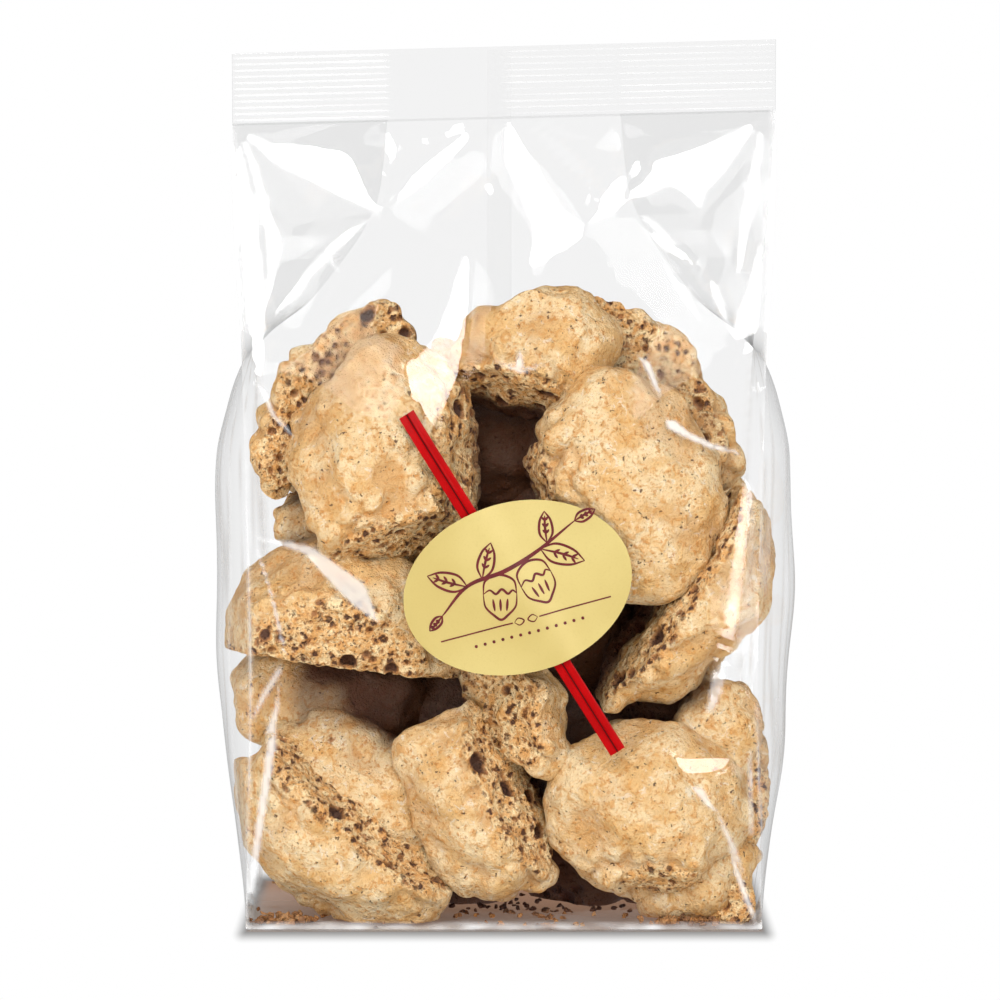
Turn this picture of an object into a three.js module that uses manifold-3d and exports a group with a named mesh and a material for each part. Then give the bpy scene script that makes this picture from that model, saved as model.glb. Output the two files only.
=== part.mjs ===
// A clear film bag of hazelnut meringue cookies, sealed across its top, with an oval label
// stuck over a twist tie on the front. Millimetres, +Z up, the front faces -Y, and the origin
// is the middle of the base. The bag is its outer form, bulged by the cookies in it.

import * as THREE from "three";
import { mergeVertices } from "three/addons/utils/BufferGeometryUtils.js";
import Module from "manifold-3d";

const wasm = await Module();
wasm.setup();

// ---- driving dimensions -------------------------------------------------------------------

const bagHeight = 224;
const flatWidth = 140; // the film tube laid flat, which is also the seal's width
const gussetFold = 40; // how far each side gusset folds in at the seal
const baseWidth = 131;
const baseDepth = 70;
const bulgeDepth = 80; // front to back over the cookies
const bulgeWidth = 149; // over the side gussets
const fillHeight = 150; // where the cookies end and the film draws in

const sealHeight = 18;
const sealThickness = 1.0;
const sealRibs = 11;
const ribRise = 0.35;
const sealRise = 3.6; // the seal climbs this much from left to right

const seamWidth = 10; // the fin down the back, folded flat
const seamShift = 1; // its middle, right of the bag's
const seamThickness = 0.5;

const labelLength = 58;
const labelWidth = 43;
const labelThickness = 0.3;
const labelTurn = 15; // degrees that its right end is turned up
const labelCentre = [3.4, 88.3]; // x and z on the front

const tieLength = 100;
const tieWidth = 4.2;
const tieThickness = 0.3;
const tieWire = 1.1; // the raised line over the wire
const tieBead = 0.75; // its height
const tieTurn = -58; // degrees from the x axis
const tieCentre = [2.1, 89.2];

const gap = 0.3; // between pieces that touch
const overlap = 0.8; // of solids that are joined
const panelSteps = 30; // facets across the front and the back
const gussetSteps = 12; // facets across each side
const rowStep = 4;
const tieSteps = 44;
const labelRings = 8;
const labelSectors = 48;

const sealFoot = bagHeight - sealHeight;
const degree = Math.PI / 180;

// ---- profiles up the bag --------------------------------------------------------------------

// A smooth line through [height, value] stops that never overshoots them.
function profile(stops) {
  const last = stops.length - 1;
  const slope = (i) => (stops[i + 1][1] - stops[i][1]) / (stops[i + 1][0] - stops[i][0]);
  const tangents = stops.map((_, i) => {
    if (i === 0) return slope(0);
    if (i === last) return slope(last - 1);
    const [below, above] = [slope(i - 1), slope(i)];
    return below * above <= 0 ? 0 : (2 * below * above) / (below + above);
  });
  return (height) => {
    const z = THREE.MathUtils.clamp(height, stops[0][0], stops[last][0]);
    const i = stops.findIndex((stop, k) => k < last && z <= stops[k + 1][0]);
    const run = stops[i + 1][0] - stops[i][0];
    const t = (z - stops[i][0]) / run;
    const [a, b] = [stops[i][1], stops[i + 1][1]];
    const [m, n] = [tangents[i] * run, tangents[i + 1] * run];
    return a + t * (m + t * (3 * (b - a) - 2 * m - n + t * (2 * (a - b) + m + n)));
  };
}

// Where the fold between a panel and a gusset runs: half the panel's width, and half its depth.
const foldHalfWidth = profile([
  [0, baseWidth / 2],
  [20, baseWidth / 2 - 0.5],
  [65, baseWidth / 2 - 1.5],
  [fillHeight - 40, baseWidth / 2 - 0.5],
  [fillHeight, flatWidth / 2 - 3.5],
  [fillHeight + 30, flatWidth / 2 - 1],
  [sealFoot, flatWidth / 2],
]);
const foldHalfDepth = profile([
  [0, baseDepth / 2],
  [60, baseDepth / 2 - 1],
  [fillHeight - 25, baseDepth / 2 - 4],
  [fillHeight, baseDepth / 2 - 11],
  [fillHeight + 25, 12],
  [sealFoot - 7, 2.4],
  [sealFoot, 0.45],
]);
// Half the depth at the middle of a panel.
const crownHalfDepth = profile([
  [0, baseDepth / 2 + 0.5],
  [18, baseDepth / 2 + 2.5],
  [70, bulgeDepth / 2],
  [fillHeight - 30, bulgeDepth / 2 - 1],
  [fillHeight + 5, bulgeDepth / 2 - 12],
  [fillHeight + 30, 15.5],
  [sealFoot - 7, 3.2],
  [sealFoot, 0.75],
]);
// Where the middle of a side gusset stands: pushed out by the cookies, folded in above them.
const gussetReach = profile([
  [0, baseWidth / 2 + 1],
  [20, bulgeWidth / 2 - 5],
  [50, bulgeWidth / 2 - 1.5],
  [92, bulgeWidth / 2],
  [fillHeight - 32, bulgeWidth / 2 - 0.5],
  [fillHeight - 18, bulgeWidth / 2 - 3],
  [fillHeight - 8, flatWidth / 2 - 2],
  [fillHeight, flatWidth / 2 - 9],
  [fillHeight + 10, flatWidth / 2 - 21],
  [fillHeight + 38, flatWidth / 2 - gussetFold + 2],
  [sealFoot, flatWidth / 2 - gussetFold],
]);
// How much of a gusset's section is a sharp fold and not a round bulge.
const gussetSharpness = profile([
  [0, 0],
  [fillHeight - 25, 0.1],
  [fillHeight + 6, 0.85],
  [fillHeight + 22, 1],
  [sealFoot, 1],
]);

// ---- what the cookies and the handling press into the film ------------------------------------

// Swells over single cookies: at is [x, z] on a panel and [y, z] on a gusset.
const frontSwells = [
  { at: [-29, 118], rise: 2.4, spread: 17 },
  { at: [31, 114], rise: 2.4, spread: 17 },
  { at: [50, 80], rise: 2.0, spread: 15 },
  { at: [-42, 74], rise: 1.8, spread: 15 },
  { at: [-43, 28], rise: 1.8, spread: 17 },
  { at: [-4, 32], rise: 1.6, spread: 15 },
  { at: [40, 29], rise: 2.2, spread: 18 },
  { at: [8, 147], rise: 1.6, spread: 13 },
];
const backSwells = [
  { at: [33, 122], rise: 2.2, spread: 16 },
  { at: [-24, 116], rise: 2.5, spread: 17 },
  { at: [6, 84], rise: 2.0, spread: 15 },
  { at: [-46, 70], rise: 2.0, spread: 15 },
  { at: [45, 62], rise: 2.2, spread: 17 },
  { at: [-22, 30], rise: 1.9, spread: 16 },
  { at: [26, 24], rise: 1.9, spread: 15 },
];
const leftSwells = [
  { at: [-8, 112], rise: 1.2, spread: 14 },
  { at: [10, 66], rise: 1.2, spread: 15 },
  { at: [-12, 34], rise: 1.0, spread: 12 },
];
const rightSwells = [
  { at: [-6, 84], rise: 1.4, spread: 15 },
  { at: [14, 116], rise: 1.0, spread: 13 },
  { at: [4, 38], rise: 1.2, spread: 15 },
];
// Creases in the slack film under the seal: a line from one point to another that stands out
// (or lies in) by its rise, with a flat facet falling away on each side.
const frontCreases = [
  { from: [-68, 203], to: [-31, 184], rise: 3.0, reach: 13 },
  { from: [-30, 204], to: [-31, 184], rise: 1.6, reach: 8 },
  { from: [-31, 184], to: [-8, 203], rise: 2.6, reach: 11 },
  { from: [2, 204], to: [21, 179], rise: 2.8, reach: 12 },
  { from: [21, 179], to: [68, 205], rise: 3.0, reach: 12 },
  { from: [-31, 184], to: [-58, 156], rise: 2.4, reach: 12 },
  { from: [33, 180], to: [52, 158], rise: -1.8, reach: 11 },
  { from: [52, 158], to: [66, 190], rise: 2.0, reach: 10 },
  { from: [-10, 168], to: [-14, 146], rise: 1.8, reach: 7 },
];
const backCreases = [
  { from: [-66, 203], to: [-26, 180], rise: 2.8, reach: 12 },
  { from: [-26, 180], to: [-4, 202], rise: 2.2, reach: 10 },
  { from: [10, 203], to: [30, 182], rise: 2.4, reach: 11 },
  { from: [30, 182], to: [66, 204], rise: 2.8, reach: 12 },
  { from: [30, 182], to: [56, 155], rise: -1.8, reach: 11 },
  { from: [-26, 180], to: [-54, 156], rise: 2.0, reach: 11 },
];

function swell(across, z, swells) {
  return swells.reduce((sum, { at, rise, spread }) => {
    const away = Math.hypot(across - at[0], z - at[1]) / spread;
    return sum + rise * Math.exp(-away * away);
  }, 0);
}

// Where creases meet, the tallest shows: they don't pile up.
function crease(x, z, creases) {
  let [highest, lowest] = [0, 0];
  for (const { from, to, rise, reach } of creases) {
    const [dx, dz] = [to[0] - from[0], to[1] - from[1]];
    const along = THREE.MathUtils.clamp(
      ((x - from[0]) * dx + (z - from[1]) * dz) / (dx * dx + dz * dz), 0, 1);
    const away = Math.hypot(x - from[0] - along * dx, z - from[1] - along * dz);
    const height = rise * Math.max(0, 1 - away / reach);
    highest = Math.max(highest, height);
    lowest = Math.min(lowest, height);
  }
  return highest + lowest;
}

// Relief dies out at the seal, at the base and at the folds.
function reliefShare(across, z) {
  const calm = 14; // millimetres over which it does so
  const nearSeal = THREE.MathUtils.smoothstep(sealFoot - z, 0, calm);
  const nearBase = THREE.MathUtils.smoothstep(z, 1, calm);
  const nearFold = 1 - Math.abs(across) ** 6;
  return nearSeal * nearBase * nearFold;
}

// Half the depth of the front (side -1) or the back (side 1), at a share across of -1 to 1.
function panelDepth(across, z, side) {
  const x = across * foldHalfWidth(z);
  const crown = 1 - Math.abs(across) ** 2.3;
  const [swells, creases] = side < 0 ? [frontSwells, frontCreases] : [backSwells, backCreases];
  const relief = swell(x, z, swells) + crease(x, z, creases);
  const depth = foldHalfDepth(z) + (crownHalfDepth(z) - foldHalfDepth(z)) * crown;
  return depth + relief * reliefShare(across, z);
}

// How far a gusset stands from the axis, at a share turn of -1 (front fold) to 1 (back fold).
// reach is where its middle stands.
function gussetX(turn, z, reach, swells) {
  const round = 1 - turn * turn;
  const shape = THREE.MathUtils.lerp(round, 1 - Math.abs(turn), gussetSharpness(z));
  const filled = 1 - THREE.MathUtils.smoothstep(z, fillHeight - 25, fillHeight);
  const relief = swell(turn * foldHalfDepth(z), z, swells) * round * filled;
  return foldHalfWidth(z) + (reach - foldHalfWidth(z)) * shape + relief;
}

// The seal isn't quite level, and the film above the cookies leans with it.
function lean(x, z) {
  return (sealRise * (x / flatWidth)) * THREE.MathUtils.smoothstep(z, fillHeight, sealFoot);
}

// A point this far out from the front film.
function onFront(x, z, out) {
  return new THREE.Vector3(x, -panelDepth(x / foldHalfWidth(z), z, -1) - out, z);
}

// ---- geometry helpers ---------------------------------------------------------------------------

// Rings of points, each joined to the next, with a fan of triangles over both ends.
function loft(rings) {
  const count = rings[0].length;
  const positions = rings.flat().flatMap((p) => [p.x, p.y, p.z]);
  const triangles = [];
  for (let r = 0; r + 1 < rings.length; r++) {
    for (let i = 0; i < count; i++) {
      const [a, b] = [r * count + i, r * count + ((i + 1) % count)];
      const [c, d] = [a + count, b + count];
      if ((r + i) % 2) triangles.push(a, b, d, a, d, c);
      else triangles.push(a, b, c, b, d, c);
    }
  }
  for (const end of [0, rings.length - 1]) {
    const middle = rings[end].reduce((s, p) => s.add(p), new THREE.Vector3()).divideScalar(count);
    const hub = positions.push(middle.x, middle.y, middle.z) / 3 - 1;
    for (let i = 0; i < count; i++) {
      const [a, b] = [end * count + i, end * count + ((i + 1) % count)];
      triangles.push(...(end === 0 ? [hub, b, a] : [hub, a, b]));
    }
  }
  const geometry = new THREE.BufferGeometry();
  geometry.setAttribute("position", new THREE.Float32BufferAttribute(positions, 3));
  return geometry.setIndex(triangles);
}

function toSolid(geometry) {
  const bare = geometry.clone().deleteAttribute("normal").deleteAttribute("uv");
  const merged = mergeVertices(bare, 1e-4);
  return new wasm.Manifold(new wasm.Mesh({
    numProp: 3,
    vertProperties: new Float32Array(merged.attributes.position.array),
    triVerts: new Uint32Array(merged.index.array),
  }));
}

function toGeometry(solid) {
  const mesh = solid.getMesh();
  const geometry = new THREE.BufferGeometry();
  geometry.setAttribute("position", new THREE.BufferAttribute(mesh.vertProperties, 3));
  geometry.setIndex(new THREE.BufferAttribute(mesh.triVerts, 1));
  const flat = geometry.toNonIndexed();
  flat.computeVertexNormals();
  return flat;
}

// A closed geometry with its faces turned outwards if they face in.
function facingOut(geometry) {
  const solid = toSolid(geometry);
  if (solid.volume() > 0) return toGeometry(solid);
  const flipped = geometry.clone();
  const index = flipped.index;
  for (let i = 0; i < index.count; i += 3) {
    const [b, c] = [index.getX(i + 1), index.getX(i + 2)];
    index.setX(i + 1, c);
    index.setX(i + 2, b);
  }
  return toGeometry(toSolid(flipped));
}

function named(name, geometry, material) {
  const mesh = new THREE.Mesh(geometry, material);
  mesh.name = name;
  return mesh;
}

// ---- the bag --------------------------------------------------------------------------------------

// One closed section, counter-clockwise seen from above. reach is where the middles of the
// gussets stand.
function section(z, reach) {
  const [halfWidth, halfDepth] = [foldHalfWidth(z), foldHalfDepth(z)];
  const points = [];
  const add = (x, y) => points.push(new THREE.Vector3(x, y, z + lean(x, z)));
  for (const side of [-1, 1]) {
    const swells = side < 0 ? rightSwells : leftSwells;
    for (let i = 0; i < panelSteps; i++) {
      const across = side * (1 - (2 * i) / panelSteps);
      add(across * halfWidth, side * panelDepth(across, z, side));
    }
    for (let i = 0; i < gussetSteps; i++) {
      const turn = side * (1 - (2 * i) / gussetSteps);
      add(-side * gussetX(turn, z, reach, swells), turn * halfDepth);
    }
  }
  return points;
}

function filledBag() {
  const softEdge = { rise: 1.2, shares: new THREE.Vector3(0.985, 0.97, 1) }; // round the base
  const heights = [0, softEdge.rise];
  for (let z = rowStep; z < sealFoot - rowStep; z += rowStep) heights.push(z);
  heights.push(sealFoot - rowStep / 2, sealFoot - overlap);
  const rings = heights.map((z) => section(z, gussetReach(z)));
  rings[0].forEach((p) => p.multiply(softEdge.shares));
  rings.push(section(sealFoot, flatWidth / 2)); // the seal shuts the gussets
  return toSolid(loft(rings));
}

// A stretch of the seal from x0 to x1, its ribs standing out by rise.
function sealStretch(x0, x1, rise) {
  const half = sealThickness / 2;
  const margin = 0.5; // plain film over the top rib
  const pitch = (sealHeight - 2 * margin) / sealRibs;
  const face = [[sealFoot - overlap, half]];
  for (let i = sealRibs; i > 0 && rise > 0; i--) {
    const start = bagHeight - margin - i * pitch;
    face.push([start, half], [start + pitch / 2, half + rise]);
  }
  face.push([bagHeight - margin, half], [bagHeight, half * 0.8]);
  const front = face.map(([z, y]) => new THREE.Vector2(-y, z));
  const back = face.map(([z, y]) => new THREE.Vector2(y, z)).reverse();
  const outline = new THREE.Shape([...front, ...back]);
  const geometry = new THREE.ExtrudeGeometry(outline, { depth: x1 - x0, bevelEnabled: false });
  const position = geometry.attributes.position;
  for (let i = 0; i < position.count; i++) {
    const [y, z, run] = [position.getX(i), position.getY(i), position.getZ(i)];
    position.setXYZ(i, x0 + run, y, z + lean(x0 + run, sealFoot));
  }
  return toSolid(geometry);
}

// Ribbed where the film is doubled by the gussets, plain left of the middle.
function seal() {
  const [edge, fold] = [flatWidth / 2, flatWidth / 2 - gussetFold];
  const [inset, clear] = [0.4, 1.5]; // the ribs stop short of the ends and of each other
  return sealStretch(-edge, edge, 0)
    .add(sealStretch(-edge + inset, -fold, ribRise))
    .add(sealStretch(inset, fold - clear, ribRise * 0.7))
    .add(sealStretch(fold, edge - inset, ribRise));
}

// The tube's long seam: a fin folded flat against the middle of the back.
function backSeam() {
  const [left, right] = [seamShift - seamWidth / 2, seamShift + seamWidth / 2];
  const heights = [];
  for (let z = rowStep / 2; z < sealFoot; z += rowStep) heights.push(z);
  heights.push(sealFoot, bagHeight - seamThickness);
  const rings = heights.map((z) => {
    const height = Math.min(z, sealFoot);
    const point = (x, out) => {
      const depth = panelDepth(x / foldHalfWidth(height), height, 1);
      return new THREE.Vector3(x, Math.max(depth, sealThickness / 2) + out, z + lean(x, height));
    };
    return [point(left, -overlap), point(right, -overlap), point(right, seamThickness),
      point(left, seamThickness)];
  });
  return toSolid(loft(rings));
}

function bag() {
  const solid = filledBag().add(seal()).add(backSeam());
  const film = new THREE.MeshStandardMaterial({ color: 0xe6cfae, roughness: 0.25, metalness: 0 });
  return named("bag", toGeometry(solid), film);
}

// ---- the twist tie ----------------------------------------------------------------------------------

const tieDirection = new THREE.Vector2(Math.cos(tieTurn * degree), Math.sin(tieTurn * degree));
const tieAcross = new THREE.Vector2(-tieDirection.y, tieDirection.x);

function twistTie() {
  const [half, wire] = [tieWidth / 2, tieWire / 2];
  const outline = [
    [-half, 0], [half, 0], [half, tieThickness], [wire, tieThickness],
    [0, tieBead], [-wire, tieThickness], [-half, tieThickness],
  ];
  const rings = [];
  for (let i = 0; i <= tieSteps; i++) {
    const along = tieLength * (i / tieSteps - 0.5);
    rings.push(outline.map(([across, out]) => {
      const x = tieCentre[0] + tieDirection.x * along + tieAcross.x * across;
      const z = tieCentre[1] + tieDirection.y * along + tieAcross.y * across;
      return onFront(x, z, gap + out);
    }));
  }
  const red = new THREE.MeshStandardMaterial({ color: 0xc8101a, roughness: 0.35, metalness: 0 });
  return named("twist_tie", facingOut(loft(rings)), red);
}

// ---- the label ----------------------------------------------------------------------------------------

// How far the label's back stands off the film: it drapes over the tie under it.
function labelLift(x, z) {
  const fromTie = Math.abs((x - tieCentre[0]) * tieAcross.x + (z - tieCentre[1]) * tieAcross.y);
  const tent = 9; // millimetres each side of the tie over which the label comes down
  const drape = THREE.MathUtils.smoothstep(tent - fromTie, 0, tent);
  return gap + (tieBead + 1.5 * gap) * drape;
}

function labelPoint(ring, sector, face) {
  const share = ring / labelRings;
  const [angle, turn] = [(2 * Math.PI * sector) / labelSectors, labelTurn * degree];
  const u = share * (labelLength / 2) * Math.cos(angle);
  const v = share * (labelWidth / 2) * Math.sin(angle);
  const x = labelCentre[0] + u * Math.cos(turn) - v * Math.sin(turn);
  const z = labelCentre[1] + u * Math.sin(turn) + v * Math.cos(turn);
  return onFront(x, z, labelLift(x, z) + face * labelThickness);
}

// Rings outwards over the label's back, then inwards over its face.
function label() {
  const rings = [];
  const addRing = (ring, face) => {
    rings.push(Array.from({ length: labelSectors }, (_, sector) => labelPoint(ring, sector, face)));
  };
  for (let ring = 1; ring <= labelRings; ring++) addRing(ring, 0);
  for (let ring = labelRings; ring >= 1; ring--) addRing(ring, 1);
  const gold = new THREE.MeshStandardMaterial({ color: 0xe9d78f, roughness: 0.4, metalness: 0.3 });
  return named("label", facingOut(loft(rings)), gold);
}

// ---- assembly -------------------------------------------------------------------------------------------

const pack = new THREE.Group();
pack.add(bag(), twistTie(), label());
const bounds = new THREE.Box3().setFromObject(pack);
const middle = bounds.getCenter(new THREE.Vector3());
pack.position.set(-middle.x, -middle.y, -bounds.min.z);

export default pack;
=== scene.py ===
import math
import random

import bpy
import numpy as np
from mathutils import Euler, Matrix, Vector


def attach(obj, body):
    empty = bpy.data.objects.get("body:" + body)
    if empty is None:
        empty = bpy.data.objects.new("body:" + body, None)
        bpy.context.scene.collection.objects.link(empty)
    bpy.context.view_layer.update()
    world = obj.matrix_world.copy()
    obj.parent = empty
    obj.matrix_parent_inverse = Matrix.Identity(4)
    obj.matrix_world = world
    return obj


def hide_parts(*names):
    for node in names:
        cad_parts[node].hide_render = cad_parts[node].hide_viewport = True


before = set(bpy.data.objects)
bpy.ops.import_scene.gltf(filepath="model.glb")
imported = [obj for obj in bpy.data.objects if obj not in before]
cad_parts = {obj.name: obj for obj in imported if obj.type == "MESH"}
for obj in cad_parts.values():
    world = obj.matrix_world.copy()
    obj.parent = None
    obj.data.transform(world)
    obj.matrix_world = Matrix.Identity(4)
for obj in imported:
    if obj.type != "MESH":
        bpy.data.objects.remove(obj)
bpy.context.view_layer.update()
random.seed(7)

# Lengths are millimetres on the bag's own axes until a piece is placed: x to the right across the
# front, y to the back, z up from the base. toFrame turns them into the frame's metres.
mm = 0.001


def bagAxis():  # the middle of the bag's base, in the frame
    corners = [v.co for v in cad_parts["bag"].data.vertices if v.co.z < 0.1 * mm]
    xs, ys = [c.x for c in corners], [c.y for c in corners]
    return Vector(((min(xs) + max(xs)) / 2, (min(ys) + max(ys)) / 2, 0))


toFrame = Matrix.Translation(bagAxis()) @ Matrix.Scale(mm, 4)

# The camera stands where the photo's did.
photoView = {
    "distance": 1000,
    "lens": 138.4,
    "down": 5,  # degrees
    "target": (-1, 0, 106.8),
}
# The studio is a white floor and backdrop, lamps, and small softboxes that only the film shows.
# Lights have their place in degrees round from the front and up, width and height, and brightness.
studio = {
    "backdrop": 1.0,
    "mirrored": 0.68,  # how bright gloss shows the backdrop
    "ambient": 0.16,  # what matt surfaces get from all round
    "darkRoom": 0.03,  # what gloss reflects of the room in front
    "whiteBehind": (-0.45, 0.1),  # the backdrop begins, as a way's part to the back
    "whiteBelow": (-0.4, -0.55),  # and the floor, as its part up
    "away": 1500,
    "lamps": {
        "keyLight": {"at": (-12, 42), "size": (930, 700), "bright": 4.35},
        "leftLamp": {"at": (-44, 14), "size": (700, 930), "bright": 2.1},
        "rightLamp": {"at": (40, 16), "size": (700, 930), "bright": 2.4},
        "lowLamp": {"at": (0, 5), "size": (1000, 220), "bright": 4.5},
    },
    "softboxes": {
        "left": {"at": (-44, 7), "size": (440, 760), "bright": 9},
        "right": {"at": (44, 7), "size": (440, 760), "bright": 9},
        "highLeft": {"at": (-30, 48), "size": (600, 600), "bright": 10},
        "highRight": {"at": (30, 48), "size": (600, 600), "bright": 10},
    },
    "wattsPerBright": 4,  # for each square metre of a light
}


def around(sideways, up, distance):  # a place seen from the camera's target at those angles
    a, b = math.radians(sideways), math.radians(up)
    way = Vector((math.sin(a) * math.cos(b), -math.cos(a) * math.cos(b), math.sin(b)))
    return Vector(photoView["target"]) + way * distance


cameraPlace = around(0, photoView["down"], photoView["distance"])


def lightPlace(light):
    return around(*light["at"], studio["away"])


def addCamera():
    data = bpy.data.cameras.new("camera")
    data.lens = photoView["lens"]
    camera = bpy.data.objects.new("camera", data)
    camera.location = toFrame @ cameraPlace
    camera.rotation_euler = (math.radians(90 - photoView["down"]), 0, 0)
    bpy.context.collection.objects.link(camera)
    bpy.context.scene.camera = camera


def addLight(name, light):
    data = bpy.data.lights.new(name, "AREA")
    data.shape = "RECTANGLE"
    data.size, data.size_y = (side * mm for side in light["size"])
    data.energy = light["bright"] * studio["wattsPerBright"] * data.size * data.size_y
    lamp = bpy.data.objects.new(name, data)
    lamp.location = toFrame @ lightPlace(light)
    aim = Vector(photoView["target"]) - lightPlace(light)
    lamp.rotation_euler = aim.to_track_quat("-Z", "Y").to_euler()
    bpy.context.collection.objects.link(lamp)
    return lamp


def addLights():
    for name, light in studio["lamps"].items():
        addLight(name, light).visible_glossy = False
    for name, light in studio["softboxes"].items():
        addLight(name, light).visible_diffuse = False


class Wire:  # a node's output; Python's operators on it add Math nodes
    def __init__(self, tree, socket):
        self.tree, self.socket = tree, socket

    def maths(self, operation, *values):
        return addNode(self.tree, "ShaderNodeMath", {"operation": operation},
                       dict(enumerate(values)))

    def __add__(self, other):
        return self.maths("ADD", self, other)

    def __sub__(self, other):
        return self.maths("SUBTRACT", self, other)

    def __rsub__(self, other):
        return self.maths("SUBTRACT", other, self)

    def __mul__(self, other):
        return self.maths("MULTIPLY", self, other)

    def __pow__(self, other):
        return self.maths("POWER", self, other)

    __radd__ = __add__
    __rmul__ = __mul__

    def ramp(self, low, high):  # 0 at low, 1 at high, smooth between them; low may be the larger
        settings = {"interpolation_type": "SMOOTHSTEP"}
        inputs = {"Value": self, "From Min": low, "From Max": high}
        return addNode(self.tree, "ShaderNodeMapRange", settings, inputs)


def addNode(tree, kind, settings=None, inputs=None, output=0):
    node = tree.nodes.new(kind)
    for key, value in (settings or {}).items():
        setattr(node, key, value)
    for key, value in (inputs or {}).items():
        if isinstance(value, Wire):
            tree.links.new(value.socket, node.inputs[key])
        else:
            node.inputs[key].default_value = value
    return Wire(tree, node.outputs[output]) if node.outputs else node


class Finish:  # a material and the nodes that it is made of
    def __init__(self, name):
        self.material = bpy.data.materials.new(name)
        self.material.use_nodes = True
        self.tree = self.material.node_tree
        self.tree.nodes.clear()
        self.place = self.node("ShaderNodeTexCoord", output="Object")

    def node(self, kind, settings=None, inputs=None, output=0):
        return addNode(self.tree, kind, settings, inputs, output)

    def noise(self, size, detail=2, rough=0.5, warp=0):  # size in millimetres
        inputs = {"Vector": self.place, "Scale": 1 / (size * mm), "Detail": detail,
                  "Roughness": rough, "Distortion": warp}
        return self.node("ShaderNodeTexNoise", inputs=inputs)

    def cells(self, size):  # how far the nearest of scattered points is, in sizes, made uneven
        inputs = {"Vector": self.place, "Scale": 2.5 / (size * mm), "Detail": 1}
        shift = self.node("ShaderNodeTexNoise", inputs=inputs, output="Color")
        shifted = self.node("ShaderNodeVectorMath", {"operation": "MULTIPLY_ADD"},
                            {0: shift, 1: (0.75 * size * mm,) * 3, 2: self.place})
        inputs = {"Vector": shifted, "Scale": 1 / (size * mm)}
        return self.node("ShaderNodeTexVoronoi", inputs=inputs, output="Distance")

    def part(self, vector, axis):
        return self.node("ShaderNodeSeparateXYZ", inputs={0: vector}, output=axis)

    def painted(self, name):  # an attribute of the mesh
        return self.node("ShaderNodeAttribute", {"attribute_name": name}, output="Fac")

    def mixed(self, share, low, high):  # one colour into another
        return self.node("ShaderNodeMix", {"data_type": "RGBA"}, {0: share, 6: low, 7: high}, 2)

    def bump(self, height, depth, strength=1):  # depth in millimetres
        inputs = {"Height": height, "Distance": depth * mm, "Strength": strength}
        return self.node("ShaderNodeBump", inputs=inputs)

    def finish(self, shader):
        self.node("ShaderNodeOutputMaterial", inputs={"Surface": shader})
        return self.material

    def principled(self, **inputs):
        named = {key.replace("_", " "): value for key, value in inputs.items()}
        return self.finish(self.node("ShaderNodeBsdfPrincipled", inputs=named))


def rgb(red, green, blue):  # a colour from its screen values, 0 to 255
    linear = [((c / 255 + 0.055) / 1.055) ** 2.4 if c > 10 else c / 255 / 12.92
              for c in (red, green, blue)]
    return (*linear, 1)


def addWorld():
    world = bpy.data.worlds.new("studio")
    bpy.context.scene.world = world
    world.use_nodes = True
    tree = world.node_tree
    tree.nodes.clear()
    seen = addNode(tree, "ShaderNodeLightPath", output="Is Camera Ray")
    gloss = addNode(tree, "ShaderNodeLightPath", output="Is Glossy Ray")
    way = addNode(tree, "ShaderNodeTexCoord", output="Generated")
    backward = addNode(tree, "ShaderNodeSeparateXYZ", inputs={"Vector": way}, output="Y")
    upward = addNode(tree, "ShaderNodeSeparateXYZ", inputs={"Vector": way}, output="Z")
    behind = backward.ramp(*studio["whiteBehind"])
    white = behind.maths("MAXIMUM", behind, upward.ramp(*studio["whiteBelow"]))
    room = studio["darkRoom"] + (studio["mirrored"] - studio["darkRoom"]) * white
    unseen = gloss * room + (1 - gloss) * studio["ambient"]
    strength = seen * studio["backdrop"] + (1 - seen) * unseen
    light = addNode(tree, "ShaderNodeBackground",
                    inputs={"Color": (1, 1, 1, 1), "Strength": strength})
    addNode(tree, "ShaderNodeOutputWorld", inputs={"Surface": light})


# The floor glows as white as the backdrop, and less under and by the bag, where lamps light it too: a
# painted shadow, brown under the bag.
ground = {
    "colours": ((0.15, 0.15, 0.15, 1), (0, 0, 0, 1)),  # by the bag and far off
    "glows": ((0.36, 0.19, 0.11, 1), (0.16, 0.16, 0.16, 1), (1, 1, 1, 1)),  # under, by, far off; the first two are painted shade
    "underEnds": (-3, 1),  # these three count from the edge of the bag's base
    "paintedShadowEnds": (-2, 16),
    "colourEnds": (0, 16),
    "shorterBeside": 4,  # how many times sooner they come at the sides
    "below": 0.05,
    "size": 8000,
}


def addFloor():
    look = Finish("paleFloor")
    sideways, forward = (look.part(look.place, axis).maths("ABSOLUTE", look.part(look.place, axis))
                         for axis in "XY")
    sideways, forward = sideways - halfBase * mm, forward - baseDepth * mm
    inward = sideways.maths("MAXIMUM", sideways, forward)
    beside, before = (way.maths("MAXIMUM", way, 0)
                      for way in (sideways * ground["shorterBeside"], forward))
    away = (beside * beside + before * before) ** 0.5
    underEnds, paintedShadowEnds, colourEnds = (
        [end * mm for end in ground[key]] for key in ("underEnds", "paintedShadowEnds", "colourEnds"))
    under, near, far = ground["glows"]
    # Painted shadow: the glow is lower and browner under the bag, and comes back beside it.
    glow = look.mixed(inward.ramp(*underEnds), under, near)
    glow = look.mixed(away.ramp(*paintedShadowEnds), glow, far)
    colour = look.mixed(away.ramp(*colourEnds), *ground["colours"])
    material = look.principled(Base_Color=colour, Roughness=1, Specular_IOR_Level=0,
                               Emission_Color=glow, Emission_Strength=1)
    bpy.ops.mesh.primitive_plane_add(size=ground["size"] * mm,
                                     location=(0, 0, -ground["below"] * mm))
    floor = named("paleFloor")
    bpy.ops.object.transform_apply()
    floor.data.materials.append(material)
    floor.visible_glossy = False


# Random numbers that vary smoothly over space, worked out for many points at once.

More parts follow.
